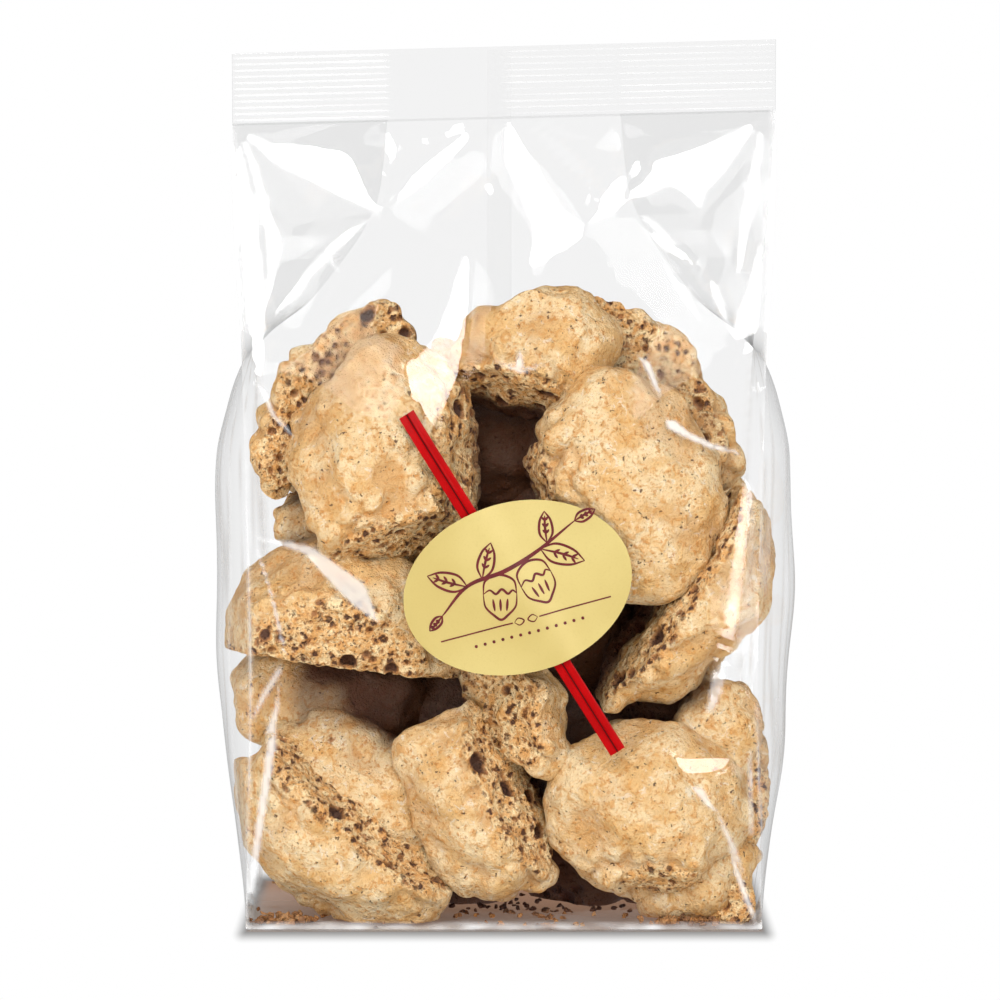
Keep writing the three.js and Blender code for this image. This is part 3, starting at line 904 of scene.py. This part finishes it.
# Every cookie is a baked blob (its middle, its half sizes along, through and across, and how far it
# is rolled), broken where planes cut it: (way out of the break, distance from the middle).
bake = {
    "fine": 0.62,  # millimetres between points on a cookie that shows
    "coarse": 1.15,
    "softened": 3,
    "blob": ((1.1, 0.16), (0.5, 0.09)),  # wavelength and height of waves, here in half sizes
    "lumps": ((15, 1.4), (7, 1.2), (3.4, 0.5), (1.6, 0.2)),
    "crumble": ((8, 1.2), (3.4, 0.8), (1.6, 0.3)),
    "frayed": ((4, 0.8),),
    "ruffle": (6, 2.1),
    "crustStarts": (0.6, 1.8),  # how far in from a break
    "rimEnds": (2, 9),
    "bubbles": ((6, 0.7, 2.9, 0.75), (3.1, 0.5, 1.4, 0.8), (1.9, 0.3, 0.8, 0.8)),
    "blisters": ((9, 0.3, 1.1, 0.3), (4.2, 0.2, 0.55, 0.35)),  # holes in the crust
    "dark": (15, 25),  # how deep in the heap the painted shade starts, and where it is full
}
cookies = [
    {"name": "slabTopLeft", "at": (-44.8, -13, 134.2), "half": (31, 13, 13), "roll": 47,
     "breaks": [((0.25, -0.95, -0.1), 4), ((0.55, 0.1, -0.6), 11)]},
    {"name": "eggTopLeft", "at": (-30, -22.5, 119), "half": (29.3, 15.5, 23.4), "roll": 87,
     "breaks": [((0.85, -0.5, 0.1), 18), ((0.25, -0.55, -0.8), 21)],
     "peaks": [((-53.3, -24, 114.8), 4, 4), ((-30.8, -23, 148.3), 4, 4)]},
    {"name": "chipLeft", "at": (-47, -6, 104), "half": (14, 10, 9), "roll": 30},
    {"name": "domeTop", "at": (6.8, -16, 144.4), "half": (21.5, 15, 17.7), "roll": 18,
     "breaks": [((-0.3, -0.5, -0.8), 10)]},
    {"name": "slabTopRight", "at": (38.4, -9, 133.9), "half": (31, 14, 13.5), "roll": -53,
     "breaks": [((-0.15, -0.97, 0.05), 5)]},
    {"name": "domeRight", "at": (29.9, -23, 112.9), "half": (28.5, 15.5, 23.5), "roll": 100,
     "breaks": [((-0.9, -0.3, -0.2), 20)]},
    {"name": "wedgeRight", "at": (43.6, -18, 85.2), "half": (33, 20, 22), "roll": 57,
     "breaks": [((-0.8, -0.3, 0.51), 2)], "pocket": (42.6, -25, 85, 3.6)},
    {"name": "wedgeLeft", "at": (-41.3, -19, 70.3), "half": (30, 20, 26), "roll": -8,
     "breaks": [((-0.13, -0.05, -0.99), 4), ((0, -0.93, -0.37), 13)]},
    {"name": "shadowMiddle", "at": (0.3, 4, 118), "half": (16, 11, 18), "roll": 75},
    {"name": "chunkMiddle", "at": (2.8, -24, 55.4), "half": (20, 12, 12), "roll": -50,
     "breaks": [((-0.6, -0.75, -0.1), 5)]},
    {"name": "shadowLeft", "at": (-45.3, -2, 54), "half": (24, 13, 15), "roll": -5},
    {"name": "slabBottomLeft", "at": (-42.4, -23, 24.2), "half": (29, 14, 20), "roll": -40,
     "breaks": [((0.55, -0.5, 0.66), 8)], "peaks": [((-35.5, -26, 1.5), 4, 4)]},
    {"name": "domeBottomLeft", "at": (-38.4, -13, 33), "half": (26, 13, 17), "roll": -40},
    {"name": "slabBottomMiddle", "at": (-7.4, -23, 31.9), "half": (29, 13.5, 17.5), "roll": -66,
     "breaks": [((0.75, -0.55, 0.35), 10)], "peaks": [((-12.2, -28, 4.1), 4, 3)],
     "pocket": (-5.8, -33, 43.3, 3)},
    {"name": "domeBottomRight", "at": (37.3, -22, 29.2), "half": (26, 16.5, 25), "roll": 15,
     "breaks": [((0.05, -0.6, -0.8), 20)]},
    {"name": "chunkRight", "at": (54.4, -14, 47.2), "half": (14, 10, 12), "roll": 20},
    {"name": "slabRight", "at": (56.4, -11, 30.9), "half": (22, 11, 12), "roll": 85,
     "breaks": [((0.3, -0.95, 0), 6)]},
    {"name": "chunkFloorRight", "at": (50.5, -17, 10.6), "half": (15, 11, 10), "roll": 10},
    {"name": "scrapCorner", "at": (59.5, -27, 5.5), "half": (5.5, 5, 5.5), "roll": 30,
     "breaks": [((-0.2, -0.9, 0.3), 1.5)]},
]
# Behind them the heap goes on in two layers. Its windows are where one sees through between
# cookies: the side, how far in they start, and their bottom and top.
heap = {
    "layers": [{"y": 6, "rows": (15, 42, 70, 97, 122), "columns": (-42, -13, 16, 44)},
               {"y": 24, "rows": (17, 45, 73, 101, 127), "columns": (-44, -16, 14, 43)}],
    "half": (20, 13, 17),
    "vary": 0.16,
    "jitter": 3.5,
    "windows": [(-1, 48, 84, 112), (1, 46, 108, 150), (-1, 44, 128, 160)],
}


def heapCookies():
    for depth, layer in enumerate(heap["layers"]):
        for row, z in enumerate(layer["rows"]):
            for column, x in enumerate(layer["columns"]):
                shift = [random.uniform(-1, 1) * heap["jitter"] for _ in range(3)]
                half = [side * (1 + random.uniform(-1, 1) * heap["vary"]) for side in heap["half"]]
                at = [x + shift[0], layer["y"] + shift[1] * 0.6, z + shift[2]]
                roll = random.uniform(0, 180)
                way = (random.uniform(-1, 1), random.choice((-0.9, 0.9)), random.uniform(-1, 1))
                for side, edge, bottom, top in heap["windows"]:
                    if bottom < at[2] < top and side * at[0] > 0:
                        at[0] = side * min(side * at[0], edge - half[0] * 0.8)
                yield {"name": f"heap{depth}{row}{column}", "at": tuple(at), "half": tuple(half),
                       "roll": roll, "breaks": [(way, random.uniform(3, 8))], "hidden": True,
                       "faceBack": depth == 1}


def keepInside(points):  # cookies rest against the film and the floor of the bag
    x, y, z = points.T
    clear = 0.9
    z = np.clip(z, 0.7, sealFoot)
    swing = np.clip(y / foldDepth(z), -1, 1)
    for sign, side in ((1, "right"), (-1, "left")):
        wall = gussetX(swing, z, gussetReach(z), side) - clear
        x = np.where(sign * x > wall, sign * wall, x)
    y = np.maximum(y, clear - frontDepth(x, z))
    y = np.minimum(y, backDepth(x, z) - clear)
    return np.stack([x, y, z], axis=1)


def paintBuried(piece, points):  # how deep in the heap: light hardly gets there
    x, y, z = points.T
    sides = gussetReach(z) - np.abs(x)
    depth = np.minimum(np.minimum(y + frontDepth(x, z), backDepth(x, z) - y), sides)
    paint(piece, "buried", between(depth, *bake["dark"]))


def addCookie(spec, number, material):
    hidden = spec.get("hidden", False)
    seed = 31 * number + 5
    centre = Vector(spec["at"])
    bpy.ops.mesh.primitive_ico_sphere_add(
        subdivisions=5, radius=1, location=centre, scale=spec["half"],
        rotation=(0, -math.radians(spec["roll"]), 0))
    piece = named(spec["name"])
    ball = coordinates(piece)
    unit = ball / np.array(spec["half"])
    blob = 1 + layered(unit, bake["blob"], seed)
    moveTo(piece, ball * blob[:, None])
    bpy.ops.object.transform_apply()
    away = -1 if spec.get("faceBack") else 1
    cuts = spec.get("breaks", []) + [((0, away, 0), spec["half"][1] * 0.55)]
    cuts = [(Vector(way).normalized(), distance) for way, distance in cuts]
    bpy.ops.object.mode_set(mode="EDIT")
    for way, distance in cuts:
        bpy.ops.mesh.select_all(action="SELECT")
        bpy.ops.mesh.bisect(plane_co=centre + way * distance, plane_no=way, use_fill=True,
                            clear_outer=True)
    bpy.ops.object.mode_set(mode="OBJECT")
    applied(piece, "REMESH", mode="VOXEL", voxel_size=bake["coarse" if hidden else "fine"])
    applied(piece, "SMOOTH", iterations=bake["softened"])

    points = coordinates(piece)
    out = coordinates(piece, "vertex_normals", "vector")
    broken, rim = np.zeros(len(points)), np.zeros(len(points))
    frayed = layered(points, bake["frayed"], seed + 20)
    for way, distance in cuts:
        inside = distance - (points - np.array(centre)) @ np.array(way) + frayed
        broken = np.maximum(broken, 1 - between(inside, *bake["crustStarts"]))
        rim = np.maximum(rim, 1 - between(inside, *bake["rimEnds"]))
    rim *= 1 - broken
    crust = layered(points, bake["lumps"], seed)
    wave, height = bake["ruffle"]
    crust += height * rim * (2 * np.abs(waves(points, wave, seed + 5)) - 0.6)
    crumble = layered(points, bake["crumble"], seed + 7)
    blister = holesIn(points, bake["blisters"], seed)
    pore = holesIn(points, bake["bubbles"], seed + 50)
    if "pocket" in spec:
        *middle, radius = spec["pocket"]
        gone = np.sum((points - np.array(middle)) ** 2, axis=1)
        pore = np.maximum(pore, 1.3 * np.sqrt(np.maximum(radius ** 2 - gone, 0)))
    hole = blister * (1 - broken) + pore * broken
    move = crust * (1 - broken) + crumble * broken - hole
    points = points + out * move[:, None]
    for tip, height, reach in spec.get("peaks", []):
        way = (Vector(tip) - centre).normalized()
        gone = np.linalg.norm(points - np.array(tip) + np.array(way) * height * 0.6, axis=1)
        points += np.array(way) * (height * np.exp(-(gone / reach) ** 1.2))[:, None]
    moveTo(piece, keepInside(points))
    paint(piece, "broken", broken)
    paint(piece, "pit", np.clip(hole / 1.6, 0, 1))
    # The crust's height, by which its hollows are darkened with painted shade.
    paint(piece, "crest", np.clip(0.5 + crust / 3, 0, 1))
    paintBuried(piece, points)
    place(piece, material, "meringue", "bag")


def meringueFinish():
    look = Finish("bakedMeringue")
    broken, pit, crest, buried = map(look.painted, ("broken", "pit", "crest", "buried"))
    patches = look.noise(10, 3, 0.55, 0.6)
    mottle = look.noise(2.4, 4, 0.65, 0.8)
    grain = look.noise(0.6, 2, 0.6)
    specks = look.noise(1.5, 3, 0.6)
    crust = look.mixed(patches.ramp(0.35, 0.65), rgb(250, 220, 170), rgb(237, 189, 122))
    crust = look.mixed(mottle.ramp(0.5, 0.64) * 0.75, crust, rgb(224, 158, 78))
    crust = look.mixed(mottle.ramp(0.44, 0.3) * 0.7, crust, rgb(254, 238, 212))
    # Painted shade: darker and browner in the crust's hollows.
    crust = look.mixed(crest.ramp(0.5, 0.15) * 0.45, crust, rgb(204, 146, 82))
    crust = look.mixed(specks.ramp(0.56, 0.68) * 0.75, crust, rgb(208, 134, 50))
    crust = look.mixed(grain.ramp(0.55, 0.7) * 0.45, crust, rgb(192, 132, 70))
    speckled = look.noise(6, 1)
    # Pinholes: dark brown dots, painted shade in holes too small to model.
    pinholes = look.cells(1.5).ramp(0.17, 0.08) * speckled.ramp(0.4, 0.6)
    pinholes = pinholes.maths("MAXIMUM", pinholes, look.cells(3.2).ramp(0.13, 0.07))
    crust = look.mixed(pinholes * 0.85, crust, rgb(104, 60, 28))
    crumb = look.mixed(mottle.ramp(0.35, 0.62), rgb(255, 226, 172), rgb(234, 172, 98))
    crumb = look.mixed(grain.ramp(0.5, 0.68) * 0.5, crumb, rgb(196, 130, 62))
    # Painted shade in the crumb's small pores, over a browner wall.
    pores = look.cells(1.1).ramp(0.34, 0.1)
    crumb = look.mixed(pores * 0.65, crumb, rgb(146, 86, 36))
    colour = look.mixed(broken, crust, crumb)
    # Holes in the broken faces: golden-brown walls, with painted shade deep in them.
    holes = look.cells(2.7)
    some = look.noise(6, 2).ramp(0.36, 0.5) * broken
    colour = look.mixed(holes.ramp(0.46, 0.3) * some * 0.8, colour, rgb(176, 110, 50))
    deep = holes.ramp(0.3, 0.16) * some
    colour = look.mixed(deep * 0.9, colour, rgb(76, 38, 14))
    # The modelled pits and blisters: golden-brown walls, with painted shade where they are deep.
    colour = look.mixed(pit.ramp(0.02, 0.35) * 0.85, colour, rgb(176, 112, 54))
    colour = look.mixed(pit.ramp(0.3, 0.9) * 0.95, colour, rgb(76, 38, 14))
    # Painted shade: cookies deep in the heap, where light hardly gets, are darkened to a deep brown.
    colour = look.mixed(buried * 0.95, colour, rgb(72, 26, 3))
    rough = mottle + specks * 0.7 + grain * 0.6 - pores * broken * 0.8 - pinholes - deep * 2
    return look.principled(Base_Color=colour, Roughness=0.72, Normal=look.bump(rough, 0.9, 1))


crumbs = {
    "jag": 0.45,
    "piles": [  # middle, spread, how many, size
        ((-57, -25, 1.2), (10, 6, 1.2), 110, 0.8),
        ((47, -27, 1.2), (13, 4, 0.7), 70, 0.85),
        ((0, -10, 0.9), (58, 22, 0.2), 120, 0.7),
        ((14, -32, 0.9), (6, 2, 0.2), 8, 0.8),
        ((0, 25, 0.9), (55, 8, 0.3), 60, 0.9),
    ],
}


def addCrumbs(material):
    pieces = []
    for middle, spread, count, size in crumbs["piles"]:
        for _ in range(count):
            at = [m + random.gauss(0, s / 2) for m, s in zip(middle, spread)]
            scale = [size * random.uniform(0.4, 1.5) for _ in range(3)]
            turn = [random.uniform(0, math.tau) for _ in range(3)]
            bpy.ops.mesh.primitive_ico_sphere_add(
                subdivisions=2, radius=1, location=at, scale=scale, rotation=turn)
            pieces.append(bpy.context.object)
    piece = joined(pieces, "crumbs")
    bpy.ops.object.transform_apply()
    points = coordinates(piece)
    jag = np.stack([waves(points, 0.9, 900 + k) for k in range(3)], axis=1) * crumbs["jag"]
    moveTo(piece, keepInside(points + jag))
    paint(piece, "broken", between(waves(points, 6, 910), -0.4, 0.1))
    paint(piece, "pit", 0.25 + between(waves(points, 2.5, 911), -0.3, 0.6) * 0.35)
    paint(piece, "crest", np.full(len(points), 0.6))
    paintBuried(piece, points)
    place(piece, material, "meringue", "bag")


def tieFinish():
    look = Finish("redTie")
    across = look.painted("across")
    line = (across * across).ramp(0.012, 0.002)
    sheen = look.noise(5, 2)
    red = look.mixed(sheen.ramp(0.3, 0.7), rgb(162, 1, 4), rgb(178, 2, 6))
    red = look.mixed(line, red, rgb(70, 6, 8))
    return look.principled(Base_Color=red, Roughness=0.38, Specular_IOR_Level=0.06,
                           Normal=look.bump(sheen, 0.15, 0.5))


def addTie(material):
    bpy.ops.mesh.primitive_grid_add(x_subdivisions=90, y_subdivisions=16, size=2)
    piece = named("twistTie")
    points = coordinates(piece)
    u, side = points[:, 0] * tie["length"] / 2, points[:, 1]
    v = side * tie["width"] / 2
    x, z = fromPiece(u, v, tie)
    half = tie["wire"] / 2
    bead = (tie["bead"] - tie["thickness"]) * between(half - np.abs(v), 0, half)
    drop = tie["edgeDrop"] * between(np.abs(side), 0.86, 1)
    moveTo(piece, onFront(x, z, gap + tie["thickness"] + bead - drop))
    paint(piece, "across", side)
    applied(piece, "SOLIDIFY", thickness=tie["thickness"], offset=-1)
    place(piece, material, "tie", "twist_tie")


def labelLift(x, z):  # the label drapes over the tie under it
    across = np.abs(turned(x, z, tie)[1])
    return gap + (tie["bead"] + 1.5 * gap) * between(9 - across, 0, 9)


def labelFinish():
    look = Finish("goldPaper")
    sheen = look.noise(30, 2, 0.5)
    fibre = look.noise(0.5, 3, 0.6)
    gold = look.mixed(sheen.ramp(0.3, 0.7), rgb(200, 177, 103), rgb(214, 193, 121))
    gold = look.mixed(fibre.ramp(0.5, 0.7) * 0.2, gold, rgb(192, 168, 94))
    return look.principled(Base_Color=gold, Metallic=0.12, Roughness=0.42,
                           Normal=look.bump(fibre + sheen * 3, 0.05, 0.5))


def addLabel(material):
    bpy.ops.mesh.primitive_circle_add(vertices=label["sectors"], radius=1, fill_type="NGON")
    piece = named("label")
    bpy.ops.object.mode_set(mode="EDIT")
    for _ in range(label["rings"] - 1):
        bpy.ops.mesh.inset(thickness=1 / label["rings"])
    bpy.ops.mesh.poke()
    bpy.ops.object.mode_set(mode="OBJECT")
    points = coordinates(piece)
    x, z = fromPiece(points[:, 0] * label["length"] / 2, points[:, 1] * label["width"] / 2, label)
    moveTo(piece, onFront(x, z, labelLift(x, z)))
    applied(piece, "SOLIDIFY", thickness=label["thickness"], offset=1)
    place(piece, material, "label", "label")


def inkFinish():
    look = Finish("darkRedInk")
    patchy = look.noise(1.5, 3, 0.6)
    ink = look.mixed(patchy.ramp(0.3, 0.7), rgb(92, 8, 14), rgb(112, 14, 20))
    return look.principled(Base_Color=ink, Roughness=0.45, Normal=look.bump(patchy, 0.02, 0.5))


# The ornament is drawn with strokes: points across the label, and a width that thins at the ends.
ornament = {
    "ink": 0.05,
    "hairline": 0.36,
    "outline": 0.648,
    "swash": 1.1,
    "branch": ((-20, -2), (-12, 3.6), (-2, 5), (7, 7.6), (18, 12.6)),
    "nuts": (((-4.8, -1.1), -12, 8.4), ((5.2, 0.2), 14, 8.4)),  # place, turn and size
    "leaves": (((-12, 3.4), 150, 10.5), ((-8, 4.4), 62, 9.5), ((8, 8), -30, 11.5),
               ((10, 9), 80, 8), ((18, 12.6), 15, 6), ((-20, -2), 215, 5)),
    "dots": {"reach": 6, "pitch": 2.3, "down": -11.6, "radius": 0.22, "width": 0.42},
}


def curve(*stops, steps=40):  # a smooth line through a few points
    stops = np.array(stops, dtype=float)
    ends = np.concatenate([[2 * stops[0] - stops[1]], stops, [2 * stops[-1] - stops[-2]]])
    t = np.linspace(0, len(stops) - 1, steps + 1)[:, None]
    i = np.minimum(t.astype(int).ravel(), len(stops) - 2)
    f = t - i[:, None]
    a, b, c, d = (ends[i + k] for k in range(4))
    return 0.5 * (2 * b + (c - a) * f + (2 * a - 5 * b + 4 * c - d) * f ** 2
                  + (3 * b - a - 3 * c + d) * f ** 3)


def stroke(line, width, taper=True):
    steps = len(line) - 1
    bpy.ops.mesh.primitive_grid_add(x_subdivisions=steps, y_subdivisions=1, size=2)
    piece = bpy.context.object
    points = coordinates(piece)
    i = np.round((points[:, 0] + 1) / 2 * steps).astype(int)
    way = np.gradient(line, axis=0)
    way /= np.linalg.norm(way, axis=1, keepdims=True) + 1e-9
    share = i / steps
    thick = width * (0.25 + 0.75 * np.sin(np.pi * share) ** 0.7 if taper else 1 + 0 * share) / 2
    u = line[i, 0] - way[i, 1] * points[:, 1] * thick
    v = line[i, 1] + way[i, 0] * points[:, 1] * thick
    x, z = fromPiece(u, v, label)
    moveTo(piece, onFront(x, z, labelLift(x, z) + label["thickness"] + 0.02))
    applied(piece, "SOLIDIFY", thickness=ornament["ink"], offset=1)
    return piece


def shaped(line, at, angle, size):  # a drawing moved, turned and sized
    a = math.radians(angle)
    spin = np.array([[math.cos(a), -math.sin(a)], [math.sin(a), math.cos(a)]])
    return line @ spin.T * size + np.array(at)


def leafLines(at, angle, length):
    for side in (1, -1):
        yield shaped(curve((0, 0), (0.3, 0.2 * side), (0.7, 0.17 * side), (1, 0)), at, angle, length)
    yield shaped(curve((0.02, 0), (0.5, 0.02), (0.86, 0)), at, angle, length)
    for along in (0.3, 0.5, 0.7):
        for side in (1, -1):
            yield shaped(curve((along, 0), (along + 0.12, 0.1 * side), steps=6), at, angle, length)


def nutLines(at, angle, size):
    yield shaped(curve((-0.5, 0.1), (-0.45, -0.28), (-0.2, -0.55), (0, -0.68), (0.2, -0.55),
                       (0.45, -0.28), (0.5, 0.1)), at, angle, size)
    yield shaped(curve((-0.5, 0.1), (-0.3, 0.22), (-0.12, 0.1), (0.06, 0.24), (0.24, 0.1),
                       (0.38, 0.2), (0.5, 0.1)), at, angle, size)
    yield shaped(curve((-0.5, 0.1), (-0.42, 0.5), (0, 0.68), (0.42, 0.5), (0.5, 0.1)),
                 at, angle, size)
    for along in (-0.22, 0, 0.22):
        yield shaped(curve((along, -0.05), (along * 0.8, -0.42), steps=8), at, angle, size)


def addOrnament(material):
    thin = ornament["hairline"]
    pieces = [stroke(curve(*ornament["branch"]), ornament["swash"])]
    for lines, drawings in ((nutLines, ornament["nuts"]), (leafLines, ornament["leaves"])):
        for drawing in drawings:
            pieces += [stroke(line, ornament["outline"]) for line in lines(*drawing)]
    for way in (-1, 1):
        pieces.append(stroke(curve((3.4 * way, -8.2), (22 * way, -8.2), steps=60), thin, False))
        pieces.append(stroke(curve((3 * way, -8.2), (1.8 * way, -7.3), (0.5 * way, -8.2),
                                   (1.8 * way, -9.1), (3 * way, -8.2), steps=24), thin))
    dots, turn = ornament["dots"], np.linspace(0, math.tau, 9)
    dot = np.stack([np.cos(turn), np.sin(turn)], axis=1) * dots["radius"]
    for k in range(-dots["reach"], dots["reach"] + 1):
        pieces.append(stroke(dot + (k * dots["pitch"], dots["down"]), dots["width"], False))
    place(joined(pieces, "ornament"), material, "label_ink", "label")


addWorld()
addCamera()
addLights()
bpy.ops.object.select_all(action="DESELECT")
addFloor()
view = bpy.context.scene.view_settings
view.view_transform = "Standard"
cycles = bpy.context.scene.cycles
cycles.transparent_max_bounces = 24
cycles.diffuse_bounces = 1
cycles.caustics_reflective = cycles.caustics_refractive = False
print("studio ready")

clearFilm = filmFinish("clearFilm", film["glossAtFront"])
addFilm(clearFilm)
addSeal(clearFilm)
addBackSeam(filmFinish("thinFilm", film["glossAtSeam"]))
print("film ready")

bakedMeringue = meringueFinish()
everyCookie = cookies + list(heapCookies())
for number, spec in enumerate(everyCookie):
    addCookie(spec, number, bakedMeringue)
addCrumbs(bakedMeringue)
print("cookies ready:", len(everyCookie))

addTie(tieFinish())
addLabel(labelFinish())
addOrnament(inkFinish())
print("tie and label ready")
